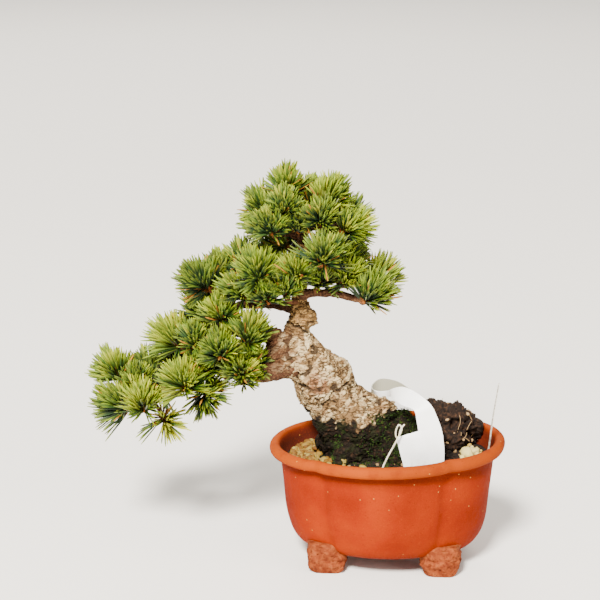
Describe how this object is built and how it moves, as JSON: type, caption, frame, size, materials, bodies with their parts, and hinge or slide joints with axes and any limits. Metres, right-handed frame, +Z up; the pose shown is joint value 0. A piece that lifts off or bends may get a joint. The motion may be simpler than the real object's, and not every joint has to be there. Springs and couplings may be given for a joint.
{
  "type": "potted bonsai pine",
  "caption": "Small five-needled pine grown as a bonsai, leaning over one end of its unglazed four-lobed footed pot, with gravel, soil and a blank label.",
  "frame": {"origin": "middle of the underside of the whole object's box, on the plane that the pot's feet stand on", "axes": "+Z up, +X towards the pot's right end as seen from the front, +Y to the back; the tree leans to -X"},
  "size_m": [0.2516, 0.112, 0.2425],
  "materials": {
    "fired_clay": "unglazed red-brown stoneware, dull, with a paler lip and rough feet",
    "screen_plastic": "plain dark mesh",
    "soil": "dark granular soil mixed with fibre, with moss",
    "golden_gravel": "small golden grains and paler pebbles",
    "pale_gravel": "pale yellow stones",
    "peat": "dark fibrous clod with a few pale grains",
    "bark": "flaky beige-grey plates with dark fissures, smoother red-brown on the branches",
    "label_plastic": "plain white, thin and bare",
    "tie_fibre": "pale twisted fibre",
    "wire": "dull",
    "needles_mid_green": "slightly waxy needles with pale lines",
    "needles_yellow_green": "slightly waxy needles with pale lines",
    "needles_dark_green": "slightly waxy needles with pale lines"
  },
  "bodies": {
    "root": {"pot": "fired_clay", "drain_screen": "screen_plastic", "soil": "soil", "gravel_left": "golden_gravel", "gravel_right": "pale_gravel", "peat_lump": "peat", "wood": "bark", "label": "label_plastic", "label_tie": "tie_fibre", "anchor_wire": "wire", "apex_spray_1": "needles_mid_green", "apex_spray_2": "needles_yellow_green", "apex_spray_3": "needles_dark_green", "apex_spray_4": "needles_mid_green", "apex_spray_5": "needles_yellow_green", "apex_spray_6": "needles_dark_green", "apex_spray_7": "needles_mid_green", "apex_spray_8": "needles_yellow_green", "crown_spray_1": "needles_dark_green", "crown_spray_2": "needles_mid_green", "crown_spray_3": "needles_yellow_green", "crown_spray_4": "needles_dark_green", "crown_spray_5": "needles_mid_green", "crown_spray_6": "needles_yellow_green", "crown_spray_7": "needles_dark_green", "crown_spray_8": "needles_mid_green", "crown_spray_9": "needles_yellow_green", "crown_spray_10": "needles_dark_green", "right_spray_1": "needles_mid_green", "right_spray_2": "needles_yellow_green", "right_spray_3": "needles_dark_green", "upper_spray_1": "needles_mid_green", "upper_spray_2": "needles_yellow_green", "upper_spray_3": "needles_dark_green", "upper_spray_4": "needles_mid_green", "upper_spray_5": "needles_yellow_green", "upper_spray_6": "needles_dark_green", "middle_spray_1": "needles_mid_green", "middle_spray_2": "needles_yellow_green", "middle_spray_3": "needles_dark_green", "middle_spray_4": "needles_mid_green", "middle_spray_5": "needles_yellow_green", "middle_spray_6": "needles_dark_green", "middle_spray_7": "needles_mid_green", "middle_spray_8": "needles_yellow_green", "lower_spray_1": "needles_dark_green", "lower_spray_2": "needles_mid_green", "lower_spray_3": "needles_yellow_green", "lower_spray_4": "needles_dark_green", "lower_spray_5": "needles_mid_green", "lower_spray_6": "needles_yellow_green", "lower_spray_7": "needles_dark_green", "lower_spray_8": "needles_mid_green", "lower_spray_9": "needles_yellow_green", "lower_spray_10": "needles_dark_green", "lower_spray_11": "needles_mid_green"}
  },
  "joints": []
}
